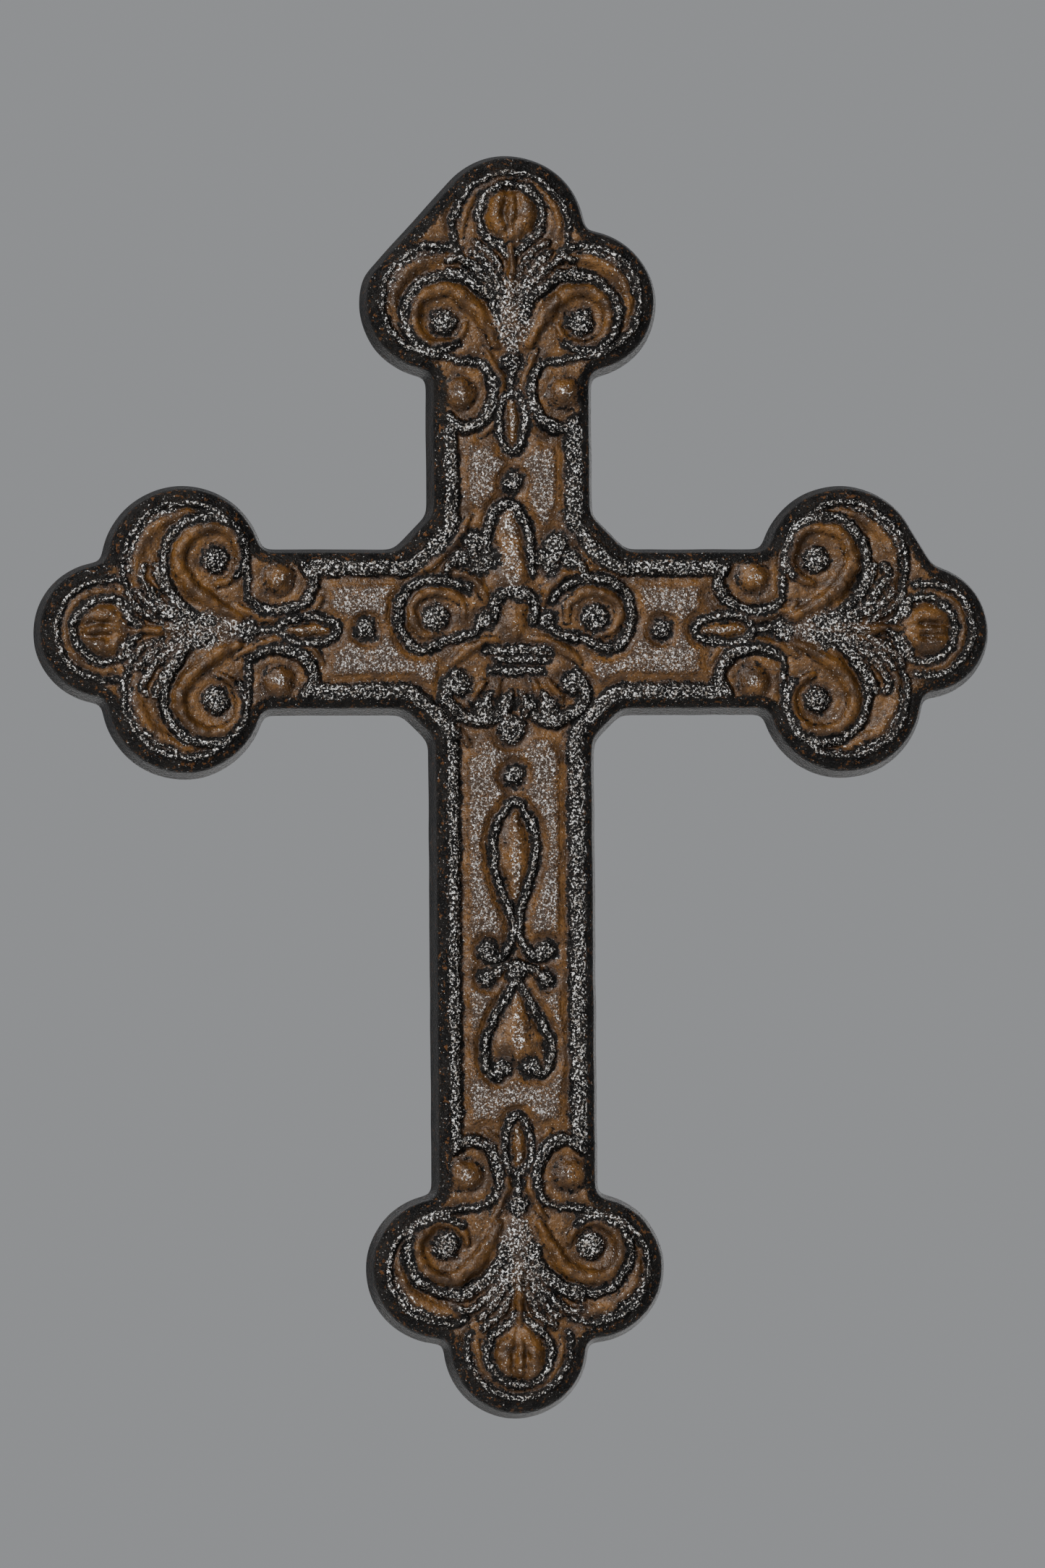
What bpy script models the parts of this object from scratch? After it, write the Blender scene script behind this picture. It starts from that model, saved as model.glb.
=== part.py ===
"""A cast-iron wall cross with trefoil ends and scrolled relief, in metres.

The pattern is laid out face up on the plane z = 0 and stood upright by its parent,
so the finished cross has its flat back on y = 0, its face towards -Y, and its two
bars crossing at the origin.
"""
import math

import bmesh
import bpy

# Reach of each arm from the crossing to the tip of its end lobe
TOP_REACH = 0.0796
BOTTOM_REACH = 0.1304
LEFT_REACH = 0.0793
RIGHT_REACH = 0.0802

# The bars: half their width, and the slanted fillers in the inner corners
BAR_HALF = 0.0139
UPPER_CORNER = 0.0056
LOWER_CORNER = 0.0044

# Levels above the back, and how far the side wall and the border slope inwards
SHOULDER = 0.0056
FACE = 0.0072
DRAFT = 0.0010
BORDER = 0.0016

# Radius of each end lobe, and radius, spread and setback of its two neighbours
TOP_LOBE = 0.0132
BOTTOM_LOBE = 0.0121
LEFT_LOBE = 0.0119
RIGHT_LOBE = 0.0113
UPRIGHT_SIDE_LOBE = 0.0125
LEVEL_SIDE_LOBE = 0.0137
UPRIGHT_SPREAD = 0.0124
LEVEL_SPREAD = 0.0108
SIDE_SETBACK = 0.0249
LOBE_STEP = 18.0

# Spare metal across two notches, from one setback to the other
TOP_WEB = (0.0048, 0.0200)
RIGHT_WEB = (0.0092, 0.0140)

# Half-width and height of a fine raised line and of a broad one
LINE = 0.00075
LINE_RISE = 0.0011
BAND = 0.0012
BAND_RISE = 0.0013
SUNK = 0.0001
LINE_SWELL = (0.5, 1.0, 1.0, 0.5)

# Rims along the bars, and the pillows between them
RIM_INSET = 0.0034
RIM_SETBACK = 0.0462
RIM_BEND = 0.0014
RIM_EASE = 0.0006
PILLOW_GAP = 0.0016
PILLOW_RISE = 0.00025
PILLOW_SLOPE = 0.0004
PILLOW_SETBACK = 0.0475
UPPER_PILLOW_START = 0.0160
SIDE_PILLOW_START = 0.0184
ARM_BEAD_PLACE = 0.0245
ARM_BEAD = 0.00155

# End lobe of a trefoil: its ring, and the fluted bud with the loop around it
RING_INSET = 0.0031
RING_SWEEP = 104.0
BUD_SETBACK = 0.0112
BUD_HALF = 0.0041
BUD_LENGTH = 0.0092
BUD_RISE = 0.0012
FLUTE_RISE = 0.0014
BUD_LOOP = 0.0055
BUD_LOOP_SWEEP = 128.0

# Palmette between the bud and the scrolls
STEM_START = 0.0152
FAN_SETBACK = 0.0262
FAN_LEAF = 0.0012
FAN_LEAF_RISE = 0.0012

# Side lobe: ring inside its edge, crescent petal, and the scroll round its pearl
SIDE_RING_INSET = 0.0031
PETAL_INSET = 0.0058
SCROLL_SETBACK = 0.0290
SCROLL_SPREAD = 0.0118
SCROLL_OUTER = 0.0078
SCROLL_INNER = 0.0036
PEARL = 0.0024
PEARL_RISE = 0.0017

# Neck of a trefoil: bead, almond drop, and two hooked scrolls round a boss
BEAD_SETBACK = 0.0353
BEAD = 0.0016
DROP_SETBACK = 0.0412
DROP_LENGTH = 0.0094
DROP_HALF = 0.0021
HOOK_SETBACK = 0.0412
HOOK_SPREAD = 0.0084
HOOK_RADIUS = 0.0045
BOSS = 0.0025

# Crossing: tongue, florets, eye scrolls, budlet, ledges and the garland below
TONGUE_TOP = 0.0210
TONGUE_FOOT = 0.0092
TONGUE_HALF = 0.0040
FLORET_SPREAD = 0.0068
FLORET_PLACE = 0.0142
FLORET_SIZE = 0.0036
EYE_SPREAD = 0.0134
EYE_PLACE = 0.0026
EYE_OUTER = 0.0057
EYE_INNER = 0.0036
EYE_PEARL = 0.0021
BUDLET_TOP = 0.0064
BUDLET_HALF = 0.0033
LEDGE_TOP = -0.0038
LEDGE_STEP = 0.0017
LEDGE_HALF = 0.0050
GARLAND_SPREAD = 0.0114
GARLAND_TOP = -0.0090
GARLAND_DROP = 0.0062
GARLAND_PEARL = 0.0017
KNOB_PLACE = -0.0168
KNOB = 0.0026

# Shaft: bead, pointed loop ending in curls, bow, and the heart below it
SHAFT_BEAD_PLACE = -0.0242
LOOP_TOP = -0.0283
LOOP_HEIGHT = 0.0262
LOOP_HALF = 0.0037
LOOP_CORE_HALF = 0.0021
CURL_PEARL = 0.0014
BOW_PLACE = -0.0553
BOW_HALF = 0.0054
BOW_DROP = 0.0026
HEART_TOP = -0.0580
HEART_HEIGHT = 0.0148
HEART_HALF = 0.0058
HEART_CORE_HALF = 0.0032
CORE_RISE = 0.0009

PAINT = (0.102, 0.047, 0.018, 1.0)
PAINT_ROUGHNESS = 0.42
PAINT_METALLIC = 0.35


def clear_scene():
    for thing in list(bpy.data.objects):
        bpy.data.objects.remove(thing, do_unlink=True)


def new_collection(name):
    collection = bpy.data.collections.new(name)
    bpy.context.scene.collection.children.link(collection)
    return collection


def painted_iron():
    """Brown paint rubbed over black iron."""
    material = bpy.data.materials.new("painted_iron")
    material.use_nodes = True
    shader = material.node_tree.nodes["Principled BSDF"]
    shader.inputs["Base Color"].default_value = PAINT
    shader.inputs["Roughness"].default_value = PAINT_ROUGHNESS
    shader.inputs["Metallic"].default_value = PAINT_METALLIC
    return material


def spiral(centre, outer, inner, start, end, points):
    """Points round a centre, angles in degrees, closing in from outer to inner radius."""
    path = []
    for i in range(points):
        share = i / (points - 1)
        angle = math.radians(start + (end - start) * share)
        radius = outer + (inner - outer) * share
        path.append((centre[0] + radius * math.cos(angle), centre[1] + radius * math.sin(angle)))
    return path


def arc(centre, radius, start, end, points):
    return spiral(centre, radius, radius, start, end, points)


class Arm:
    """One arm of the cross: turns places measured back from its tip into places on the face."""

    def __init__(self, name, outward, reach, lobe, side_lobe, spread):
        self.name = name
        self.outward = outward
        self.across = (1.0, 0.0) if outward[0] == 0.0 else (0.0, 1.0)
        self.reach = reach
        self.lobe = lobe
        self.side_lobe = side_lobe
        self.spread = spread

    def at(self, aside, setback):
        out = self.reach - setback
        return (
            self.outward[0] * out + self.across[0] * aside,
            self.outward[1] * out + self.across[1] * aside,
        )

    def path(self, points, side=1.0):
        return [self.at(aside * side, setback) for aside, setback in points]


ARMS = [
    Arm("top", (0.0, 1.0), TOP_REACH, TOP_LOBE, UPRIGHT_SIDE_LOBE, UPRIGHT_SPREAD),
    Arm("bottom", (0.0, -1.0), BOTTOM_REACH, BOTTOM_LOBE, UPRIGHT_SIDE_LOBE, UPRIGHT_SPREAD),
    Arm("left", (-1.0, 0.0), LEFT_REACH, LEFT_LOBE, LEVEL_SIDE_LOBE, LEVEL_SPREAD),
    Arm("right", (1.0, 0.0), RIGHT_REACH, RIGHT_LOBE, LEVEL_SIDE_LOBE, LEVEL_SPREAD),
]


def slab(name, outline, collection, draft=DRAFT, border=BORDER, height=FACE - SHOULDER):
    """A plate of the given counter-clockwise outline with slanted sides and a sloping border."""
    shape = bmesh.new()
    back = [shape.verts.new((x, y, 0.0)) for x, y in outline]
    top = shape.faces.new(back)
    top.normal_update()
    for inset, lift in ((draft, SHOULDER), (border, height)):
        bmesh.ops.inset_region(
            shape, faces=[top], thickness=inset, depth=lift, use_even_offset=True, use_boundary=True
        )
    shape.faces.new(list(reversed(back)))
    bmesh.ops.recalc_face_normals(shape, faces=shape.faces)
    mesh = bpy.data.meshes.new(name)
    shape.to_mesh(mesh)
    shape.free()
    plate = bpy.data.objects.new(name, mesh)
    collection.objects.link(plate)
    return plate


def lobe_arc(aside, setback, radius, start, end):
    """Points on a lobe, as places on an arm; angles in radians from its outer side to its tip."""
    count = max(2, round(math.degrees(end - start) / LOBE_STEP))
    points = []
    for i in range(count + 1):
        angle = start + (end - start) * i / count
        points.append((aside + radius * math.cos(angle), setback - radius * math.sin(angle)))
    return points


def notch_angles(arm):
    """Where a side lobe meets the end lobe, as an angle on each of the two circles."""
    apart = math.hypot(arm.spread, SIDE_SETBACK - arm.lobe)
    along = (arm.lobe ** 2 - arm.side_lobe ** 2 + apart ** 2) / (2.0 * apart)
    off = math.sqrt(max(arm.lobe ** 2 - along ** 2, 0.0))
    slope = math.atan2(arm.lobe - SIDE_SETBACK, arm.spread)
    on_end = slope + math.atan2(off, along)
    on_side = slope + math.pi - math.atan2(off, apart - along)
    return on_side, on_end


def trefoil_half(arm, web):
    """One side of a trefoil's outline, from its neck to its tip."""
    neck = -math.acos((BAR_HALF - arm.spread) / arm.side_lobe)
    on_side, on_end = notch_angles(arm)
    if web:
        on_side = math.asin(min((SIDE_SETBACK - web[1]) / arm.side_lobe, 1.0))
        on_end = math.asin((arm.lobe - web[0]) / arm.lobe)
    side = lobe_arc(arm.spread, SIDE_SETBACK, arm.side_lobe, neck, on_side)
    end = lobe_arc(0.0, arm.lobe, arm.lobe, on_end, math.pi / 2)
    return side + end if web else side + end[1:]


def cross_outline():
    """The whole outline, counter-clockwise from the foot of the right arm's upper edge."""
    top, bottom, left, right = ARMS
    upper = BAR_HALF + UPPER_CORNER
    lower = BAR_HALF + LOWER_CORNER
    quarters = [
        (right, 1.0, RIGHT_WEB, top, 1.0, None, upper),
        (top, -1.0, TOP_WEB, left, 1.0, None, upper),
        (left, -1.0, None, bottom, -1.0, None, lower),
        (bottom, 1.0, None, right, -1.0, None, lower),
    ]
    outline = []
    for leaving, side, web, arriving, other, far_web, corner in quarters:
        down = leaving.path(trefoil_half(leaving, web), side)
        outline += list(reversed(down))
        for arm, turn in ((leaving, side), (arriving, other)):
            outline.append(arm.at(BAR_HALF * turn, arm.reach - corner))
        outline += arriving.path(trefoil_half(arriving, far_web), other)[:-1]
    return outline


class Relief:
    """The raised work: closed shapes, sunk to their middles in the face."""

    def __init__(self, collection):
        self.collection = collection

    def add(self, name, mesh, stretch, centre=(0.0, 0.0), turn=0.0):
        for vertex in mesh.vertices:
            for axis in range(3):
                vertex.co[axis] *= stretch[axis]
        shape = bpy.data.objects.new(name, mesh)
        shape.location = (centre[0], centre[1], FACE - SUNK)
        shape.rotation_euler.z = turn
        shape.hide_render = True
        shape.display_type = "WIRE"
        self.collection.objects.link(shape)
        return shape

    def sweep(self, name, path, half=LINE, rise=LINE_RISE, swell=LINE_SWELL, sides=4, steps=2):
        """A line or leaf along a path, its half-width following the swell from end to end."""
        curve = bpy.data.curves.new(name, "CURVE")
        curve.dimensions = "3D"
        curve.twist_mode = "Z_UP"
        curve.bevel_depth = half
        curve.bevel_resolution = (sides - 4) // 2
        curve.resolution_u = steps
        curve.use_fill_caps = True
        spline = curve.splines.new("BEZIER")
        spline.bezier_points.add(len(path) - 1)
        for i, point in enumerate(spline.bezier_points):
            point.co = (path[i][0], path[i][1], 0.0)
            point.handle_left_type = "AUTO"
            point.handle_right_type = "AUTO"
            place = i / (len(path) - 1) * (len(swell) - 1)
            step = min(int(place), len(swell) - 2)
            point.radius = swell[step] + (swell[step + 1] - swell[step]) * (place - step)
        guide = bpy.data.objects.new(name, curve)
        self.collection.objects.link(guide)
        bpy.context.view_layer.update()
        seen = guide.evaluated_get(bpy.context.evaluated_depsgraph_get())
        mesh = bpy.data.meshes.new_from_object(seen)
        bpy.data.objects.remove(guide)
        shape = bmesh.new()
        shape.from_mesh(mesh)
        bmesh.ops.remove_doubles(shape, verts=shape.verts, dist=0.00001)
        shape.to_mesh(mesh)
        shape.free()
        return self.add(name, mesh, (1.0, 1.0, rise / half))

    def ball(self, name, centre, half, rise, length=None, turn=0.0):
        """A pearl, boss or bud: a flattened ball."""
        shape = bmesh.new()
        rings = 6 if half > ARM_BEAD else 4
        bmesh.ops.create_uvsphere(shape, u_segments=8, v_segments=rings, radius=half)
        mesh = bpy.data.meshes.new(name)
        shape.to_mesh(mesh)
        shape.free()
        stretch = (1.0, (length or half) / half, rise / half)
        return self.add(name, mesh, stretch, centre, turn)


def angle_of(arm, side=1.0, aside=0.0, out=1.0):
    """The angle on the face, in degrees, of a direction given in an arm's own terms."""
    x = arm.outward[0] * out + arm.across[0] * aside * side
    y = arm.outward[1] * out + arm.across[1] * aside * side
    return math.degrees(math.atan2(y, x))


def end_lobe(relief, arm):
    """Ring, looped and fluted bud, and the stem below it."""
    ahead = angle_of(arm)
    ring_centre = arm.at(0.0, arm.lobe)
    ring = arc(ring_centre, arm.lobe - RING_INSET, ahead - RING_SWEEP, ahead + RING_SWEEP, 7)
    relief.sweep(arm.name + "_ring", ring)
    bud_centre = arm.at(0.0, BUD_SETBACK)
    loop = arc(bud_centre, BUD_LOOP, ahead - BUD_LOOP_SWEEP, ahead + BUD_LOOP_SWEEP, 7)
    relief.sweep(arm.name + "_bud_loop", loop)
    long_way = math.radians(ahead - 90.0)
    relief.ball(arm.name + "_bud", bud_centre, BUD_HALF, BUD_RISE, BUD_LENGTH / 2, long_way)
    for side in (-1.0, 0.0, 1.0):
        flute = arm.path([
            (side * BUD_HALF * 0.35, BUD_SETBACK - BUD_LENGTH * 0.36),
            (side * BUD_HALF * 0.52, BUD_SETBACK),
            (side * BUD_HALF * 0.12, BUD_SETBACK + BUD_LENGTH * 0.46),
        ])
        relief.sweep(arm.name + "_flute", flute, LINE, FLUTE_RISE, steps=1)
    stem = arm.path([(0.0, STEM_START), (0.0, (STEM_START + FAN_SETBACK) / 2), (0.0, FAN_SETBACK)])
    relief.sweep(arm.name + "_stem", stem, LINE, LINE_RISE, (0.8, 1.2), steps=1)


def palmette(relief, arm):
    """Leaves that fan out from the foot of the stem on both sides."""
    leaves = [
        (0.0034, 0.0160, 0.0020, 1.0),
        (0.0062, 0.0168, 0.0036, 1.1),
        (0.0090, 0.0196, 0.0052, 1.1),
        (0.0108, 0.0226, 0.0064, 0.9),
    ]
    for side in (-1.0, 1.0):
        for number, (aside, setback, bulge, size) in enumerate(leaves):
            root = (0.0009 + 0.0003 * number, FAN_SETBACK + 0.0008 * number)
            middle = (bulge * 0.62 + root[0] * 0.4, setback * 0.42 + root[1] * 0.58)
            leaf = arm.path([root, middle, (aside, setback)], side)
            half = FAN_LEAF * size
            relief.sweep(arm.name + "_leaf", leaf, half, FAN_LEAF_RISE, (0.5, 0.8, 1.1, 0.5))


def side_lobe(relief, arm, side):
    """Ring, crescent petal, and the scroll that winds in to a pearl."""
    centre = arm.at(arm.spread * side, SIDE_SETBACK)
    outside = angle_of(arm, side, 1.0, 0.0)
    forward = turn_towards_tip(arm, side)
    ring = arc(centre, arm.side_lobe - SIDE_RING_INSET, outside + forward * 88.0,
               outside - forward * 92.0, 7)
    relief.sweep(arm.name + "_side_ring", ring)
    petal = arc(centre, arm.side_lobe - PETAL_INSET, outside + forward * 112.0,
                outside - forward * 10.0, 5)
    relief.sweep(arm.name + "_petal", petal, BAND, BAND_RISE, (0.35, 1.0, 1.0, 0.3))
    eye = arm.at(SCROLL_SPREAD * side, SCROLL_SETBACK)
    scroll = spiral(eye, SCROLL_OUTER, SCROLL_INNER, outside + forward * 208.0,
                    outside - forward * 150.0, 9)
    relief.sweep(arm.name + "_scroll", scroll, LINE, LINE_RISE, (0.6, 1.3, 1.2, 1.0, 0.6))
    relief.ball(arm.name + "_pearl", eye, PEARL, PEARL_RISE)


def turn_towards_tip(arm, side):
    """+1 or -1: the way round the face from an arm's outer side to its tip."""
    across = (arm.across[0] * side, arm.across[1] * side)
    return math.copysign(1.0, across[0] * arm.outward[1] - across[1] * arm.outward[0])


def neck(relief, arm):
    """Bead, almond drop, and a hooked scroll round a boss on each side."""
    relief.ball(arm.name + "_bead", arm.at(0.0, BEAD_SETBACK), BEAD, PEARL_RISE)
    drop = []
    for i in range(6):
        share = i / 6.0
        swing = math.radians(-90.0 + 360.0 * share)
        aside = DROP_HALF * math.cos(swing)
        drop.append((aside, DROP_SETBACK + DROP_LENGTH * (0.5 + 0.5 * math.sin(swing))))
    relief.sweep(arm.name + "_drop", arm.path(drop + drop[:1]), LINE * 0.85, LINE_RISE, (1.0, 1.0))
    for side in (-1.0, 1.0):
        hook = arm.path([
            (HOOK_SPREAD - HOOK_RADIUS * 0.85, BEAD_SETBACK - BEAD),
            (HOOK_SPREAD - HOOK_RADIUS * 1.1, HOOK_SETBACK - HOOK_RADIUS * 0.5),
            (HOOK_SPREAD - HOOK_RADIUS * 0.9, HOOK_SETBACK + HOOK_RADIUS * 0.5),
            (HOOK_SPREAD - HOOK_RADIUS * 0.2, HOOK_SETBACK + HOOK_RADIUS),
            (HOOK_SPREAD + HOOK_RADIUS * 0.55, HOOK_SETBACK + HOOK_RADIUS * 0.8),
        ], side)
        relief.sweep(arm.name + "_hook", hook, LINE, LINE_RISE)
        boss = arm.at(HOOK_SPREAD * side, HOOK_SETBACK)
        relief.ball(arm.name + "_boss", boss, BOSS, BAND_RISE)


def rims(relief):
    """Raised rims along both bars, one in each quarter, following the inner corners."""
    for across, sideways in ((-1.0, ARMS[2]), (1.0, ARMS[3])):
        for along, upright, corner in ((1.0, ARMS[0], UPPER_CORNER), (-1.0, ARMS[1], LOWER_CORNER)):
            edge = BAR_HALF - RIM_INSET
            bend = edge + corner + RIM_BEND
            far_up = upright.reach - RIM_SETBACK
            far_out = sideways.reach - RIM_SETBACK
            path = [(edge, far_up), (edge, (far_up + bend) / 2), (edge, bend + RIM_EASE)]
            path += [(edge + RIM_EASE, bend), (bend, edge + RIM_EASE), (bend + RIM_EASE, edge)]
            path += [((far_out + bend) / 2, edge), (far_out, edge)]
            path = [(x * across, y * along) for x, y in path]
            relief.sweep("rim", path, LINE * 1.25, LINE_RISE, (0.8, 1.0, 1.0, 0.8), steps=1)


def pillows(collection):
    """Flat raised pillows between the rims of each arm, under its drop and beads."""
    half = BAR_HALF - RIM_INSET - PILLOW_GAP
    starts = (UPPER_PILLOW_START, -KNOB_PLACE + KNOB, SIDE_PILLOW_START, SIDE_PILLOW_START)
    for arm, start in zip(ARMS, starts):
        one = arm.at(-half, PILLOW_SETBACK)
        other = arm.at(half, arm.reach - start)
        low = (min(one[0], other[0]), min(one[1], other[1]))
        high = (max(one[0], other[0]), max(one[1], other[1]))
        outline = [low, (high[0], low[1]), high, (low[0], high[1])]
        slab(arm.name + "_pillow", outline, collection, PILLOW_SLOPE, PILLOW_SLOPE,
             FACE + PILLOW_RISE - SHOULDER)


def crossing(relief):
    """Tongue, florets, eye scrolls, budlet, ledges and garland at the crossing."""
    height = TONGUE_TOP - TONGUE_FOOT
    tongue = [(0.0, TONGUE_FOOT), (0.0, TONGUE_FOOT + height * 0.5), (0.0, TONGUE_TOP)]
    relief.sweep("tongue", tongue, TONGUE_HALF * 0.72, BAND_RISE, (0.5, 1.0, 0.9, 0.4), 6)
    arch = [(-1.15, 0.08), (-0.95, 0.45), (-0.62, 0.88), (0.0, 1.0),
            (0.62, 0.88), (0.95, 0.45), (1.15, 0.08)]
    arch = [(x * TONGUE_HALF, TONGUE_FOOT + y * height) for x, y in arch]
    relief.sweep("tongue_arch", arch)
    for side in (-1.0, 1.0):
        floret = (FLORET_SPREAD * side, FLORET_PLACE)
        relief.ball("floret", floret, FLORET_SIZE * 0.5, BAND_RISE)
        for x, y in ((0.95, -0.85), (0.1, -0.95), (-0.75, -0.7)):
            tip = (floret[0] + x * side * FLORET_SIZE, floret[1] + y * FLORET_SIZE)
            relief.sweep("floret_leaf", [floret, tip], LINE * 1.2, LINE_RISE, (1.1, 0.6), steps=1)
        eye = (EYE_SPREAD * side, EYE_PLACE)
        inward = 180.0 if side > 0 else 0.0
        ring = spiral(eye, EYE_OUTER * 1.18, EYE_OUTER, inward + side * 30.0, inward - side * 300.0, 9)
        relief.sweep("eye_ring", ring, LINE, LINE_RISE)
        coil = spiral(eye, EYE_INNER * 1.5, EYE_INNER * 0.95,
                      inward + side * 10.0, inward - side * 250.0, 7)
        relief.sweep("eye_coil", coil, LINE, LINE_RISE * 0.7)
        relief.ball("eye_pearl", eye, EYE_PEARL, PEARL_RISE)
    budlet = [(-1.0, 0.25), (-0.75, 0.8), (-0.3, 1.0), (0.0, 0.93), (0.3, 1.0), (0.75, 0.8), (1.0, 0.25)]
    budlet = [(x * BUDLET_HALF, y * BUDLET_TOP) for x, y in budlet]
    relief.sweep("budlet_arch", budlet)
    relief.ball("budlet", (0.0, BUDLET_TOP * 0.3), BUDLET_HALF * 0.62, BAND_RISE, BUDLET_TOP * 0.5)
    for side in (-1.0, 1.0):
        leaf = [(BUDLET_HALF * side * 0.8, 0.0), (BUDLET_HALF * side * 1.9, BUDLET_TOP * 0.2)]
        relief.sweep("budlet_leaf", leaf, LINE * 1.2, LINE_RISE, (1.0, 0.5), steps=1)
    for number, width in enumerate((1.0, 0.9, 0.8)):
        level = LEDGE_TOP - number * LEDGE_STEP
        ledge = [(-LEDGE_HALF * width, level), (0.0, level), (LEDGE_HALF * width, level)]
        relief.sweep("ledge", ledge, LINE * 0.9, LINE_RISE, steps=1)
    garland = [(0.86, 0.05), (1.0, 0.3), (0.98, 0.6), (0.82, 0.92), (0.5, 1.0), (0.22, 0.78)]
    for side in (-1.0, 1.0):
        curl = [(x * GARLAND_SPREAD * side, GARLAND_TOP - y * GARLAND_DROP) for x, y in garland]
        relief.sweep("garland", curl)
        relief.ball("garland_pearl", (GARLAND_SPREAD * 0.84 * side, GARLAND_TOP), GARLAND_PEARL, BAND_RISE)
        for x, y in ((0.52, 0.55), (0.24, 0.35)):
            tip = (x * GARLAND_SPREAD * side, GARLAND_TOP - y * GARLAND_DROP)
            root = (x * 0.35 * GARLAND_SPREAD * side, GARLAND_TOP - (y + 0.35) * GARLAND_DROP)
            relief.sweep("garland_leaf", [root, tip], LINE * 1.1, LINE_RISE, (1.1, 0.5), steps=1)
    relief.ball("knob", (0.0, KNOB_PLACE), KNOB, BAND_RISE)


def shaft(relief):
    """Bead, pointed loop with its core, curls, bow, and the heart with its core."""
    relief.ball("shaft_bead", (0.0, SHAFT_BEAD_PLACE), ARM_BEAD, PEARL_RISE)
    loop = [(0.05, 0.0), (0.7, 0.12), (1.0, 0.27), (0.86, 0.45), (0.5, 0.62), (0.2, 0.77),
            (0.2, 0.88), (0.5, 0.96), (1.0, 0.99), (1.35, 0.94)]
    heart = [(0.05, 0.0), (0.4, 0.18), (0.7, 0.4), (0.92, 0.58), (1.0, 0.75), (0.96, 0.9),
             (0.7, 1.0), (0.42, 0.96)]
    for side in (-1.0, 1.0):
        path = [(x * LOOP_HALF * side, LOOP_TOP - y * LOOP_HEIGHT) for x, y in loop]
        relief.sweep("loop", path, LINE * 0.9, LINE_RISE, (0.8, 1.0, 1.0, 0.7))
        curl = (LOOP_HALF * 1.4 * side, LOOP_TOP - LOOP_HEIGHT * 0.95)
        relief.ball("curl_pearl", curl, CURL_PEARL, BAND_RISE)
        bow = [(0.0, BOW_PLACE), (BOW_HALF * 0.55 * side, BOW_PLACE - BOW_DROP * 0.35),
               (BOW_HALF * side, BOW_PLACE - BOW_DROP)]
        relief.sweep("bow", bow, LINE * 1.2, LINE_RISE, (0.7, 1.0, 1.0))
        path = [(x * HEART_HALF * side, HEART_TOP - y * HEART_HEIGHT) for x, y in heart]
        relief.sweep("heart", path, LINE * 0.9, LINE_RISE, (0.8, 1.0, 1.0, 0.7))
        curl = (HEART_HALF * 0.45 * side, HEART_TOP - HEART_HEIGHT * 0.95)
        relief.ball("heart_pearl", curl, CURL_PEARL, BAND_RISE)
    core = [(0.0, LOOP_TOP - LOOP_HEIGHT * share) for share in (0.07, 0.2, 0.4, 0.62)]
    relief.sweep("loop_core", core, LOOP_CORE_HALF, CORE_RISE, (0.2, 1.0, 0.8, 0.2), 6)
    core = [(0.0, HEART_TOP - HEART_HEIGHT * share) for share in (0.1, 0.4, 0.7, 0.8)]
    relief.sweep("heart_core", core, HEART_CORE_HALF, CORE_RISE, (0.2, 0.8, 1.1, 0.5), 6)


def build():
    clear_scene()
    finished = new_collection("wall_cross")
    joined = new_collection("raised_work")
    casting = slab("cross", cross_outline(), finished)
    casting.data.materials.append(painted_iron())
    pillows(joined)
    relief = Relief(joined)
    for arm in ARMS:
        end_lobe(relief, arm)
        palmette(relief, arm)
        for side in (-1.0, 1.0):
            side_lobe(relief, arm, side)
        neck(relief, arm)
    for arm in (ARMS[0], ARMS[2], ARMS[3]):
        bead = arm.at(0.0, arm.reach - ARM_BEAD_PLACE)
        relief.ball(arm.name + "_arm_bead", bead, ARM_BEAD, PEARL_RISE)
    rims(relief)
    crossing(relief)
    shaft(relief)
    stand = bpy.data.objects.new("stand_upright", None)
    finished.objects.link(stand)
    stand.rotation_euler.x = math.pi / 2
    casting.parent = stand
    for piece in joined.objects:
        piece.hide_render = True
        piece.display_type = "WIRE"
        piece.parent = stand
    union = casting.modifiers.new("joined", "BOOLEAN")
    union.operation = "UNION"
    union.operand_type = "COLLECTION"
    union.collection = joined
    union.solver = "EXACT"


build()
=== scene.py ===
import math

import bpy
import numpy as np
from mathutils import Matrix, Quaternion, Vector, kdtree, noise
from mathutils.geometry import delaunay_2d_cdt


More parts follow.
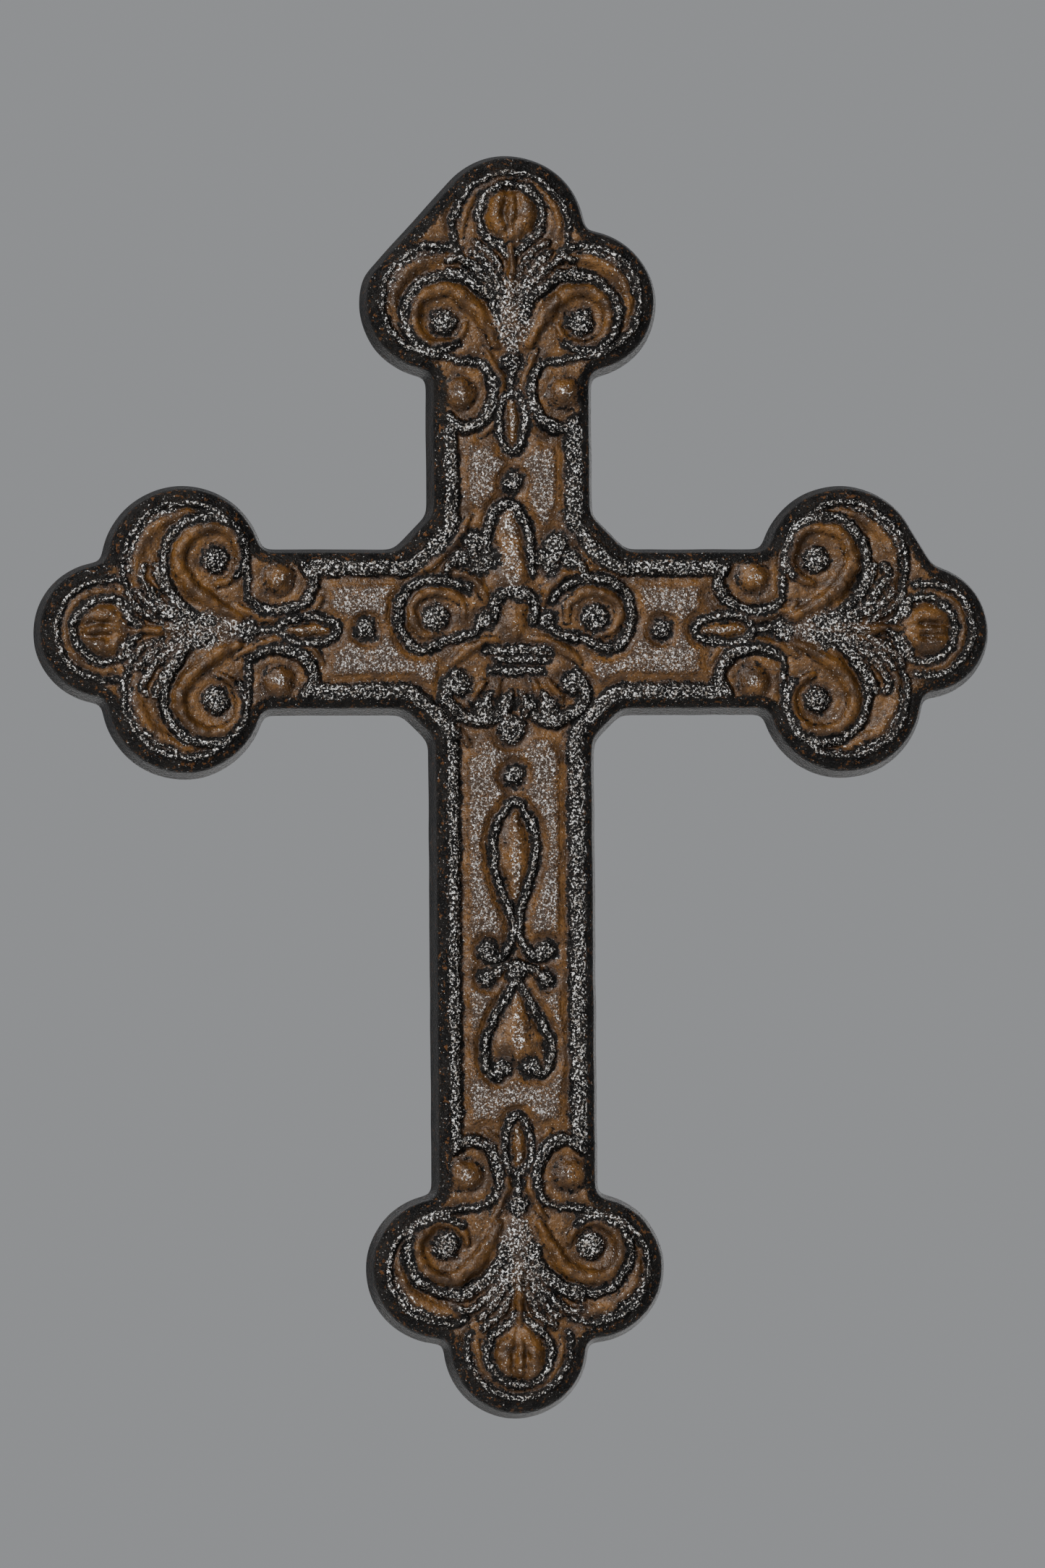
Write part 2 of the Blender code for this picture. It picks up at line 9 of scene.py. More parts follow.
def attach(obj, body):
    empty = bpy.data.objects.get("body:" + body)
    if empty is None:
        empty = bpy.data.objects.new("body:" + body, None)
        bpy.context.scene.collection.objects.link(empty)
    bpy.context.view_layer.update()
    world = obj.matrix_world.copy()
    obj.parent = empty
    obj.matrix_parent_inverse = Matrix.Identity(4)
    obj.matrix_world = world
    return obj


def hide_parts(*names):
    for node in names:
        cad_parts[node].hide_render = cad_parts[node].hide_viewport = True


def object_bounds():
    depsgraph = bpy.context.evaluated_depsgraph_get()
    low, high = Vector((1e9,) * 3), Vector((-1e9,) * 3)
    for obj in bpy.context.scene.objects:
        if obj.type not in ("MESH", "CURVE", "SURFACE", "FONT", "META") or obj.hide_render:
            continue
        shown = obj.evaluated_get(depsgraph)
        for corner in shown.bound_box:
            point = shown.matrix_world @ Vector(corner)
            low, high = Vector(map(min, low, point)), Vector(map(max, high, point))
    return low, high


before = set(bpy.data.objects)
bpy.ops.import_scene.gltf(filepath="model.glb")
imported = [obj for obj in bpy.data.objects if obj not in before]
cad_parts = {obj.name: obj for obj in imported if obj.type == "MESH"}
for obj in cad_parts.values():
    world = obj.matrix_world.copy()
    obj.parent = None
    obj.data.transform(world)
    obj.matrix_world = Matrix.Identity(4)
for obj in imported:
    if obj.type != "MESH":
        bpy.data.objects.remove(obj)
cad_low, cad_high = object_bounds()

# The plate of the cross: two flat bars with three round lobes at each end, poured in
# iron in one piece, its sides slanting so that the pattern could be drawn from the sand.
# Here it is built lying face up: x across, y up the cross, z off the wall.
BAR_HALF = 0.0139
UPPER_CORNER = 0.0056
LOWER_CORNER = 0.0044
SIDE_SETBACK = 0.0249
WALL_SLANT = 0.0010
LOBE_POINTS = 24
OUTLINE_STEP = 0.00052
SHEET_STEP = 0.000372
OUTLINE_EASE = 7
OUTLINE_WAVER = 0.00008
WAVER_LENGTH = 0.006
MM = 0.001


class Arm:
    """One arm of the cross; a place on it is given aside from its middle and back from its tip."""

    def __init__(self, outward, reach, lobe, side_lobe, spread, webs=(None, None)):
        self.outward = np.array(outward)
        self.across = np.array((1.0, 0.0) if outward[0] == 0.0 else (0.0, 1.0))
        self.reach = reach
        self.lobe = lobe
        self.side_lobe = side_lobe
        self.spread = spread
        self.webs = webs

    def at(self, aside, setback):
        return self.outward * (self.reach - setback) + self.across * aside

    def path(self, points, side=1.0):
        return [self.at(aside * side, setback) for aside, setback in points]


# Spare metal fills the notch left of the top lobe, and part of the one above the right.
top = Arm((0.0, 1.0), cad_high.z, 0.0132, 0.0125, 0.0124, ((0.0048, 0.0200), None))
bottom = Arm((0.0, -1.0), -cad_low.z, 0.0121, 0.0125, 0.0124)
left = Arm((-1.0, 0.0), -cad_low.x, 0.0119, 0.0137, 0.0108)
right = Arm((1.0, 0.0), cad_high.x, 0.0113, 0.0137, 0.0108, (None, (0.0092, 0.0140)))
arms = (top, bottom, left, right)


def lobe_arc(aside, setback, radius, start, end):
    """Points round a lobe, angles in radians from its outer side towards the tip."""
    angles = np.linspace(start, end, LOBE_POINTS)
    return [(aside + radius * math.cos(a), setback - radius * math.sin(a)) for a in angles]


def trefoil_half(arm, side):
    """One side of a trefoil, from where it meets the bar to its tip."""
    neck = -math.acos((BAR_HALF - arm.spread) / arm.side_lobe)
    apart = math.hypot(arm.spread, SIDE_SETBACK - arm.lobe)
    along = (arm.lobe ** 2 - arm.side_lobe ** 2 + apart ** 2) / (2.0 * apart)
    off = math.sqrt(arm.lobe ** 2 - along ** 2)
    slope = math.atan2(arm.lobe - SIDE_SETBACK, arm.spread)
    on_end = slope + math.atan2(off, along)
    on_side = slope + math.pi - math.atan2(off, apart - along)
    web = arm.webs[0 if side < 0 else 1]
    if web:
        on_end = math.asin((arm.lobe - web[0]) / arm.lobe)
        on_side = math.asin((SIDE_SETBACK - web[1]) / arm.side_lobe)
    points = lobe_arc(arm.spread, SIDE_SETBACK, arm.side_lobe, neck, on_side)
    points += lobe_arc(0.0, arm.lobe, arm.lobe, on_end, math.pi / 2)
    return arm.path(points, side)


def resampled(points, step, closed=True):
    """The same line with its points a step apart."""
    points = np.array(points)
    if closed:
        points = np.vstack((points, points[:1]))
    gone = np.concatenate(([0.0], np.cumsum(np.linalg.norm(np.diff(points, axis=0), axis=1))))
    count = max(2, int(round(gone[-1] / step)))
    stations = np.linspace(0.0, gone[-1], count, endpoint=not closed)
    return np.column_stack([np.interp(stations, gone, points[:, k]) for k in (0, 1)])


outline = []
for leaving, side, arriving, other, corner in (
    (right, 1.0, top, 1.0, UPPER_CORNER),
    (top, -1.0, left, 1.0, UPPER_CORNER),
    (left, -1.0, bottom, -1.0, LOWER_CORNER),
    (bottom, 1.0, right, -1.0, LOWER_CORNER),
):
    outline += list(reversed(trefoil_half(leaving, side)))
    for arm, turn in ((leaving, side), (arriving, other)):
        outline.append(arm.at(BAR_HALF * turn, arm.reach - BAR_HALF - corner))
    outline += trefoil_half(arriving, other)[:-1]
outline = resampled(outline, OUTLINE_STEP)
for _ in range(OUTLINE_EASE):
    outline = 0.5 * outline + 0.25 * (np.roll(outline, 1, axis=0) + np.roll(outline, -1, axis=0))


def inward(ring, distance):
    """A closed line moved in from its own edge; the distance may differ from point to point."""
    run = np.roll(ring, -1, axis=0) - np.roll(ring, 1, axis=0)
    run /= np.linalg.norm(run, axis=1)[:, None]
    return ring + np.column_stack((-run[:, 1], run[:, 0])) * np.reshape(distance, (-1, 1))


waver = [noise.noise(Vector((x, y, 0.0)) / WAVER_LENGTH) for x, y in outline]
outline = inward(outline, OUTLINE_WAVER * (1.0 + np.array(waver)))
shoulder_ring = inward(outline, WALL_SLANT)


def inside_points(ring, step, clearance):
    """Points in rows a step apart, everywhere within a closed line but its very edge."""
    near = kdtree.KDTree(len(ring))
    for i, (x, y) in enumerate(ring):
        near.insert((x, y, 0.0), i)
    near.balance()
    following = np.roll(ring, -1, axis=0)
    rows = []
    row_step = step * math.sqrt(3.0) / 2.0
    for number, y in enumerate(np.arange(ring[:, 1].min(), ring[:, 1].max(), row_step)):
        crossed = (ring[:, 1] > y) != (following[:, 1] > y)
        a, b = ring[crossed], following[crossed]
        cuts = np.sort(a[:, 0] + (y - a[:, 1]) / (b[:, 1] - a[:, 1]) * (b[:, 0] - a[:, 0]))
        for start, end in zip(cuts[::2], cuts[1::2]):
            first = math.ceil(start / step) + 0.5 * (number % 2)
            rows += [(x, y) for x in np.arange(first * step, end, step)]
    return [p for p in rows if near.find((p[0], p[1], 0.0))[2] > clearance]


# The face is a fine sheet inside the shoulder, and each of its points keeps how far in
# from there it lies; all the others count as outside. The walls are rings from there to
# the back, each given by how far in from the outline and how high it lies, in millimetres.
OFF_THE_SHEET = -1.0

filling = inside_points(shoulder_ring, SHEET_STEP, SHEET_STEP * 0.55)
flat = [Vector(p) for p in shoulder_ring] + [Vector(p) for p in filling]
count = len(shoulder_ring)
loop_edges = [(i, (i + 1) % count) for i in range(count)]
made, _, triangles, origins, _, _ = delaunay_2d_cdt(flat, loop_edges, [], 1, 1e-7)
where = {source[0]: place for place, source in enumerate(origins) if source}
rings = [[where[i] for i in range(count)]]
points = [(p.x, p.y, 0.0) for p in made]
sheet_size = len(points)
wall_profile = ((0.85, 4.9), (0.45, 2.6), (0.12, 0.9), (0.0, 0.35), (0.22, 0.06), (0.5, 0.0))
for inset, height in wall_profile:
    rings.append(list(range(len(points), len(points) + count)))
    points += [(x, y, height * MM) for x, y in inward(outline, inset * MM)]
faces = [tuple(face) for face in triangles]
for upper, lower in zip(rings, rings[1:]):
    for i in range(count):
        j = (i + 1) % count
        faces.append((upper[i], lower[i], lower[j], upper[j]))
back = [Vector(points[i][:2]) for i in rings[-1]]
_, _, behind, sources, _, _ = delaunay_2d_cdt(back, loop_edges, [], 1, 1e-7)
faces += [tuple(rings[-1][sources[k][0]] for k in reversed(face)) for face in behind]

casting_mesh = bpy.data.meshes.new("casting")
casting_mesh.from_pydata(points, [], faces)
casting = bpy.data.objects.new("casting", casting_mesh)
bpy.context.scene.collection.objects.link(casting)


def give(mesh, name, values):
    """Stores one number for each point of a mesh."""
    layer = mesh.attributes.new(name, "FLOAT", "POINT")
    layer.data.foreach_set("value", np.asarray(values, dtype=np.float32))


edge_tree = kdtree.KDTree(count)
for i, (x, y) in enumerate(shoulder_ring):
    edge_tree.insert((x, y, 0.0), i)
edge_tree.balance()
edge = [edge_tree.find((x, y, 0.0))[2] for x, y, _ in points[:sheet_size]]
edge += [OFF_THE_SHEET * MM] * (len(points) - sheet_size)
give(casting_mesh, "edge", edge)
for name, before_pressing in (("lift", 0.0), ("crest", 0.0), ("dark", 0.0), ("clear", 20.0 * MM)):
    give(casting_mesh, name, np.full(len(points), before_pressing))

# The raised work of an end, cast with the plate: a fluted bud in a ring, a fan of
# leaves, scrolls wound in to pearls inside crescent petals, and a drop between hooked
# tendrils. Each is a path in millimetres, with a half-width and a height above the face.
def smooth(points, step=0.13):
    """A smooth line through a few points."""
    points = np.array(points, dtype=float)
    if len(points) == 2:
        return resampled(points, step, closed=False)
    ends = np.vstack((2 * points[0] - points[1], points, 2 * points[-1] - points[-2]))
    dense = []
    for i in range(1, len(ends) - 2):
        a, b, c, d = ends[i - 1:i + 3]
        for t in np.linspace(0.0, 1.0, 12, endpoint=False):
            dense.append(0.5 * (2 * b + (c - a) * t + (2 * a - 5 * b + 4 * c - d) * t ** 2
                                + (3 * b - a - 3 * c + d) * t ** 3))
    dense.append(points[-1])
    return resampled(dense, step, closed=False)


class Strokes:
    """Paths of one kind, gathered as points that carry their half-width and height."""

    def __init__(self, half, rise, swell=(1.0, 1.0)):
        self.usual = (half, rise, swell)
        self.places = []
        self.half = []
        self.rise = []

    def add(self, path, half=None, rise=None, swell=None):
        """A line along a few points; its width swells and thins by shares along it."""
        path = smooth(path)
        swell = swell or self.usual[2]
        width = np.interp(np.linspace(0.0, 1.0, len(path)), np.linspace(0.0, 1.0, len(swell)), swell)
        self.places.append(path)
        self.half.append(width * (half or self.usual[0]))
        self.rise.append(np.sqrt(width) * (rise or self.usual[1]))

    def dot(self, centre, half=None, rise=None):
        """A round bead."""
        self.places.append(np.array([centre], dtype=float))
        self.half.append(np.array([half or self.usual[0]]))
        self.rise.append(np.array([rise or self.usual[1]]))

    def guide(self, name):
        """All the paths as one object of loose points, lying on the wall plane."""
        places = np.vstack(self.places) * MM
        mesh = bpy.data.meshes.new(name)
        mesh.from_pydata([(x, y, 0.0) for x, y in places], [], [])
        give(mesh, "half", np.concatenate(self.half) * MM)
        give(mesh, "rise", np.concatenate(self.rise) * MM)
        made = bpy.data.objects.new(name, mesh)
        bpy.context.scene.collection.objects.link(made)
        return made


# The kinds of stroke, each with its usual half-width and height
lines = Strokes(0.72, 1.8, (0.6, 1.0, 1.0, 1.0, 0.6))
scrolls = Strokes(0.64, 1.5, (0.6, 1.0, 1.0, 1.0, 0.6))
leaves = Strokes(1.15, 1.6, (0.5, 0.9, 1.0, 0.8))
bands = Strokes(1.45, 0.95, (0.5, 1.0, 1.0, 1.0, 0.5))
petals = Strokes(1.9, 0.9, (0.55, 1.0, 0.8, 0.3))
beads = Strokes(1.7, 1.9)
domes = Strokes(2.8, 1.1)
worn = Strokes(3.6, 0.9)
# The last kind raises almost nothing: it paints a ring of shade, over a slight groove, round each
# pearl and boss
wells = Strokes(3.0, 0.02)


def ring(centre, radius, start, end, count=12):
    """Points on a circle, its angles in degrees from the outer side towards the tip."""
    return [
        (centre[0] + radius * math.cos(a), centre[1] - radius * math.sin(a))
        for a in np.radians(np.linspace(start, end, count))
    ]


TIP_RING_INSET = 3.5
TIP_BAND_INSET = 5.1
BUD_RADIUS = 5.3
BUD_FOOT = 15.2
BEAD_SETBACK = 35.3
PANEL_BEAD_REACH = 24.5
DROP_SETBACK = 44.6
DROP_HALF = 2.2
DROP_POINT = 2.5
DROP_NECK = 1.9
PEARL = 2.3
TENDRIL_INSET = 3.4
PETAL_INSET = 5.3
BOSS = 2.9

for arm in arms:
    level = arm in (left, right)
    lobe, side_lobe, spread = arm.lobe / MM, arm.side_lobe / MM, arm.spread / MM

    def placed(points, side=1.0):
        return [arm.at(aside * side * MM, setback * MM) / MM for aside, setback in points]

    # The ring and the bud in it; then, down the middle, the stem, the bead and the drop
    bud = 11.8 if level else 10.9
    scrolls.add(placed(ring((0.0, lobe), lobe - TIP_RING_INSET, -14, 194)), 0.54, 1.3)
    bands.add(placed(ring((0.0, lobe), lobe - TIP_BAND_INSET, -8, 188)), 0.9, 0.55)
    onion = ring((0.0, bud), BUD_RADIUS, -40, 220)
    scrolls.add(placed([(1.3, 16.4)] + onion + [(-1.3, 16.4)]), 0.62, 1.3)
    for aside, half, rise in ((-2.5, 2.0, 1.7), (2.4, 2.0, 1.6), (0.0, 1.15, 1.75)):
        flute = [(aside * 0.8, bud - 3.1), (aside, bud - 1.3), (aside * 0.95, bud + 0.5),
                 (aside * 0.3, BUD_FOOT)]
        petals.add(placed(flute), half, rise, (0.8, 1.0, 0.95, 0.35))
    fan_root = [(0.0, 22.4), (0.0, 26.0), (0.0, 29.0), (0.0, 32.4)]
    worn.add(placed(fan_root), 4.5, 0.9, (0.5, 1.0, 1.2, 0.5))
    bands.add(placed([(0.0, 15.6), (0.0, 19.6), (0.0, 24.6)]), 0.95, 1.8, (0.7, 1.0, 1.2))
    beads.dot(placed([(0.0, BEAD_SETBACK)])[0], 1.75, 1.4)
    drop = []
    for aside, past in ring((0.0, 0.0), DROP_HALF, 0, 360, 13):
        drop.append((aside, DROP_SETBACK + past * (DROP_POINT if past > 0.0 else DROP_NECK)))
    scrolls.add(placed(drop), 0.6, 1.2, (1.0, 1.0))
    domes.add(placed([(0.0, 41.6), (0.0, DROP_SETBACK), (0.0, 48.4)]), 1.5, 0.9, (0.4, 1.0, 0.4))
    lines.add(placed([(0.0, 36.6), (0.0, 40.6)]), 0.6, 1.0, (1.0, 0.7))
    for side in (-1.0, 1.0):
        # The small leaf by the bud, and the fan
        for leaf, half, rise in (
            ([(0.9, 17.6), (1.6, 16.2), (3.0, 15.0), (4.2, 14.1)], 1.05, 1.5),
            ([(1.3, 21.0), (2.4, 18.6), (4.0, 16.6), (6.0, 15.3)], 0.95, None),
            ([(1.4, 25.0), (2.5, 21.6), (4.2, 18.9), (6.4, 16.9)], 1.0, None),
            ([(1.7, 26.0), (3.4, 22.3), (5.6, 19.9), (8.6, 17.8), (10.4, 18.3)], 1.05, None),
            ([(2.0, 27.2), (4.0, 23.8), (6.2, 21.9), (8.8, 20.4), (10.6, 19.9)], 0.95, None),
        ):
            leaves.add(placed(leaf, side), half, rise)
        # The scroll and its pearl
        pearl = (11.6, 29.8) if level else (12.0 if arm is bottom else 11.4, 28.6)
        grown = 1.1 if level else 1.0
        outer = [(-9.3, -0.4), (-8.6, -2.8), (-6.8, -5.0), (-3.9, -7.0), (0.0, -7.8), (3.6, -6.6),
                 (6.0, -3.6), (6.5, -0.2), (5.2, 2.8), (2.6, 4.4), (-0.4, 4.6), (-2.6, 3.4)]
        inner = [(-8.6, 3.6), (-7.0, 0.4), (-4.4, -3.2), (-0.8, -5.4), (2.6, -4.8), (4.7, -2.4),
                 (4.9, 0.6), (3.3, 3.2), (0.4, 4.0), (-2.4, 2.9), (-3.6, 0.4)]
        outer, inner = (
            placed([(pearl[0] + a * grown, pearl[1] + s * grown) for a, s in part], side)
            for part in (outer, inner)
        )
        scrolls.add(outer, 0.85, 1.6, (0.9, 1.1, 1.0, 1.0, 0.8, 0.5))
        bands.add(inner, 1.5, 1.5, (0.7, 1.1, 1.1, 1.0, 0.9, 0.4))
        eye = placed([pearl], side)[0]
        beads.dot(eye, PEARL, 1.75)
        # A ring of painted shade round the pearl
        wells.dot(eye)
        # The tendril: round the lobe, down the neck, and hooked round its boss
        centre = (spread, SIDE_SETBACK / MM)
        turn = ring(centre, side_lobe - TENDRIL_INSET, 116, -78, 14)
        hook = [(5.0, 35.4), (3.7, 37.2), (3.2, 39.6), (3.5, 42.2), (4.6, 44.5), (6.5, 45.8),
                (8.8, 46.0), (10.6, 44.6)]
        scrolls.add(placed(turn + hook[:1], side), 0.56, 1.35)
        scrolls.add(placed(hook, side), 1.35, 1.8, (0.45, 0.7, 0.95, 1.0, 0.85))
        inside = [(4.4, 33.0), (2.9, 35.6), (2.0, 38.6), (2.2, 41.6), (3.2, 45.8), (5.4, 47.6)]
        bands.add(placed(inside, side), 0.9, 0.9)
        # The crescent petal between the tendril and the scroll
        petals.add(placed(ring(centre, side_lobe - PETAL_INSET, 112, -20), side))
        leaves.add(placed(ring(centre, side_lobe - 4.4, 96, 10), side), 0.45, 0.35)
        boss = placed([(8.6, 40.3)], side)[0]
        domes.dot(boss, BOSS, 1.35)
        # A ring of painted shade round the boss
        wells.dot(boss, BOSS + 0.9)
for arm in (top, left, right):
    beads.dot(arm.outward * PANEL_BEAD_REACH, 1.65, 1.4)

# The crossing, cast with the plate: a tongue with two florets above a small bud, an eye
# scroll on each side, three ledges below it, and a garland with its knob.
LEFT_SHIFT = 0.5
RIGHT_SHIFT = 0.1

tongue = [(-0.2, 6.4), (-0.5, 12.0), (-0.7, 17.0), (-0.8, 19.4)]
domes.add(tongue, 4.2, 0.95, (0.9, 1.0, 0.95, 0.6))
tongue_edge = [(-4.6, 12.4), (-4.5, 14.6), (-4.0, 17.4), (-2.8, 19.8), (-0.9, 21.1), (0.9, 19.8),
               (2.2, 17.2), (2.8, 14.0), (3.1, 11.0), (3.4, 9.4)]
lines.add(tongue_edge, swell=(0.8, 1.0, 1.0, 1.0, 1.0, 1.0, 0.8, 0.6))
for side in (-1.0, 1.0):
    def mirrored(points):
        return [(x * side + (LEFT_SHIFT if side < 0 else RIGHT_SHIFT), y) for x, y in points]

    for centre, half, rise in (
        ((7.0, 14.3), 2.0, 1.5), ((4.6, 12.0), 1.5, 1.3), ((9.3, 11.9), 1.5, 1.3),
        ((6.2, 10.6), 1.5, 1.3), ((13.4, 2.1), 2.4, 1.4), ((5.4, 1.5), 1.35, 1.1),
        ((9.6, -9.0), 1.9, 1.35), ((5.6, -12.9), 1.6, 1.4),
    ):
        beads.dot(mirrored([centre])[0], half, rise)
    leaves.add(mirrored([(6.6, 14.4), (7.0, 12.6), (6.2, 10.6)]), 1.5)
    leaves.add(mirrored([(9.0, 11.8), (10.6, 11.1), (11.5, 10.0), (11.7, 8.4)]), 0.95)
    bands.add(mirrored([(10.2, 9.6), (8.0, 8.9), (6.0, 7.2), (4.9, 4.6)]), 1.2, 1.1)
    bands.add(mirrored([(6.4, 9.4), (5.6, 7.4), (4.6, 6.4)]), 0.8, 0.6)
    eye = [(6.4, 4.8), (8.0, 6.8), (10.8, 8.1), (14.5, 8.3), (17.9, 6.8), (19.5, 3.5), (19.2, 0.0),
           (17.0, -2.8), (14.4, -2.9), (12.0, -1.8), (9.7, -1.3), (7.4, -0.5), (5.3, 1.2)]
    lines.add(mirrored(eye[1:] if side < 0 else eye), 0.8, 1.5)
    bands.add(mirrored([(8.8, 1.4), (9.0, 4.2), (11.2, 6.1), (14.2, 6.4), (16.8, 4.8), (17.4, 2.0),
                        (15.9, -0.4), (13.6, -0.9)]), 1.1, 0.85)
    bands.add(mirrored([(3.4, -1.6), (6.2, -2.2), (9.0, -3.8), (11.0, -5.8)]), 1.1, 0.9)
    lines.add(mirrored([(10.0, -7.2), (11.5, -8.8), (11.8, -11.4), (10.2, -13.6), (7.6, -14.9),
                        (5.2, -15.1), (3.2, -14.2)]), 1.2, 1.7, (0.7, 0.9, 1.1, 1.1, 0.8))
    beads.dot(((1.9 + 0.5 * side) * side, -12.3), 1.5, 1.4)
    leaves.add(mirrored([(4.6, -10.6), (5.6, -12.6), (5.0, -14.6)]), 1.2)
    leaves.add(mirrored([(1.0, -10.4), (1.8, -12.2), (1.6, -14.4)]), 1.1)
    bands.add(mirrored([(5.4, -8.4), (6.8, -10.2), (7.8, -12.4)]), 0.9, 0.9)
    bands.add(mirrored([(2.8, -8.2), (3.6, -10.0), (3.8, -12.0)]), 0.8, 0.8)
    # The soft bands that cut across the inner corners, above and below
    bands.add(mirrored([(7.9, 19.0), (8.8, 16.4), (11.2, 13.6), (14.0, 11.0), (17.0, 9.0)]), 1.1, 1.0)
    bands.add(mirrored([(8.0, -19.0), (9.2, -17.4), (12.8, -13.8), (16.0, -10.6), (18.0, -9.0)]),
              0.9, 0.7)
# The bud, the ledges and the knob
lines.add([(-3.1, 2.0), (-3.1, 4.4), (-1.6, 6.0), (0.4, 5.8), (2.3, 6.0), (3.5, 4.2), (3.3, 1.4)], 1.0)
petals.add([(0.2, 4.2), (0.2, 1.8), (0.2, -1.6)], 2.2, 0.9, (0.8, 1.0, 0.5))
lines.add([(-4.6, -3.5), (0.5, -3.3), (6.0, -3.6)], 0.95, 1.4)
lines.add([(-3.0, -4.9), (1.0, -4.9), (5.6, -4.9)], 0.6, 1.1)
lines.add([(-3.8, -6.8), (0.5, -6.8), (4.7, -6.8)], 0.7, 1.2)
beads.dot((-0.5, -16.6), 2.5, 1.4)

# The shaft, cast with the plate: a bead, a pointed loop that ends in two curls, a bow
# and a heart; and the rims that run along both bars and cut across the inner corners.
RIM_INSET = 3.6
RIM_STOP = 46.5
RIM_RISE = 1.5
RIGHT_RIM = 1.85
UPPER_LEFT_RIM = 1.5
LOWER_LEFT_RIM = 1.2
CORNER_RIM = 1.55
LEVEL_RIM = 1.65

beads.dot((-0.2, -24.2), 1.7, 1.4)
for side, loop, heart in (
    (-1.0,
     [(0.0, -28.5), (1.2, -29.2), (2.9, -31.8), (3.7, -35.4), (3.3, -40.0), (2.0, -44.3),
      (0.7, -47.8), (0.5, -50.6), (1.3, -52.8), (2.8, -54.5), (4.4, -54.4)],
     [(0.0, -57.6), (1.7, -60.9), (3.7, -64.4), (5.0, -67.6), (5.3, -70.6), (4.4, -73.3),
      (2.8, -74.0)]),
    (1.0,
     [(0.0, -28.5), (1.3, -29.6), (2.8, -32.2), (3.5, -35.6), (2.9, -39.6), (1.7, -43.6),
      (0.7, -47.6), (0.8, -50.6), (1.8, -52.9), (3.4, -54.2), (4.6, -54.0)],
     [(0.0, -57.6), (1.8, -60.7), (4.0, -64.6), (5.4, -67.8), (5.6, -71.0), (4.6, -73.2),
      (2.8, -73.4)]),
):
    lines.add([(x * side, y) for x, y in loop], 0.56, 1.5, (0.8, 1.0, 1.0, 1.0, 1.0, 1.0, 1.0, 1.1))
    lines.add([(x * side, y) for x, y in heart], 0.56, 1.5, (1.0, 1.0, 1.0, 1.1))
    beads.dot((4.9 * side, -53.1), 1.55, 1.4)
    beads.dot((2.3 * side, -72.4), 1.6, 1.4)
    leaves.add([(0.0, -55.2), (2.4 * side, -56.0), (4.6 * side, -57.6)], 1.0, 1.3, (1.1, 0.9, 1.2))
    beads.dot((4.9 * side, -57.8), 1.35, 1.3)
beads.dot((0.1, -56.3), 1.6, 1.5)
domes.add([(0.0, -30.6), (0.0, -34.5), (0.0, -39.5), (0.0, -44.8)], 2.5, 0.9, (0.25, 1.0, 0.95, 0.2))
domes.add([(0.0, -60.4), (0.0, -65.0), (0.0, -68.6)], 3.6, 0.9, (0.25, 0.75, 1.0))
rim_in = BAR_HALF / MM - RIM_INSET
for across, sideways in ((-1.0, left), (1.0, right)):
    for along, upright in ((1.0, top), (-1.0, bottom)):
        far_up, far_out = (arm.reach / MM - RIM_STOP for arm in (upright, sideways))
        path = [(rim_in, far_up), (rim_in, 0.5 * far_up + 8.6), (rim_in, 18.0), (rim_in + 0.3, 16.8),
                (13.5, 13.4), (16.6, rim_in + 0.5), (18.2, rim_in), (0.5 * far_out + 9.1, rim_in),
                (far_out, rim_in)]
        upright_rim = RIGHT_RIM if across > 0 else UPPER_LEFT_RIM if along > 0 else LOWER_LEFT_RIM
        for start, end, half in ((0, 3, upright_rim), (2, 7, CORNER_RIM), (6, 9, LEVEL_RIM)):
            part = [(x * across, y * along) for x, y in path[start:end]]
            lines.add(part, half, RIM_RISE, (1.0, 1.0))


# The pattern's raised work was pressed into the sand. Here each group of paths is
# pressed up through the face by one tree: every point of the sheet rises by how near it
# is to the nearest path, and keeps how worn and glinting with painted highlights it is, how
# black with paint and painted shade, and how clear of the work it is.
WAVER = 1.5
WAVER_SCALE = 420.0
LUMP_SCALE = 650.0
LOW_LUMP = 0.72
HIGH_LUMP = 1.12
BLACK_FROM = 0.6
FLAT = (1.0, 1.0, 0.0)


def node(tree, kind, inputs=(), **settings):
    """Adds a node; its inputs are given by place or name, as plain values or as sockets."""
    made = tree.nodes.new(kind)
    for name, value in settings.items():
        setattr(made, name, value)
    for key, value in dict(inputs).items():
        if isinstance(value, bpy.types.NodeSocket):
            tree.links.new(value, made.inputs[key])
        else:
            made.inputs[key].default_value = value
    return made


def calc(tree, operation, *values):
    """One step of arithmetic, as a node."""
    return node(tree, "ShaderNodeMath", enumerate(values), operation=operation).outputs[0]


def vector(tree, operation, inputs, output=0):
    """One step of arithmetic on places, as a node."""
    return node(tree, "ShaderNodeVectorMath", inputs, operation=operation).outputs[output]


def cloudy(tree, place, scale, detail=2.0, roughness=0.5):
    """Noise fixed to the piece; the scale is in patches to the metre."""
    inputs = {"Vector": place, "Scale": scale, "Detail": detail, "Roughness": roughness}
    return node(tree, "ShaderNodeTexNoise", inputs).outputs


def ranged(tree, value, low, high, first=0.0, last=1.0, kind="SMOOTHSTEP"):
    """A value carried from one range to another, and held at its ends."""
    limits = {"Value": value, "From Min": low, "From Max": high, "To Min": first, "To Max": last}
    return node(tree, "ShaderNodeMapRange", limits, interpolation_type=kind).outputs[0]


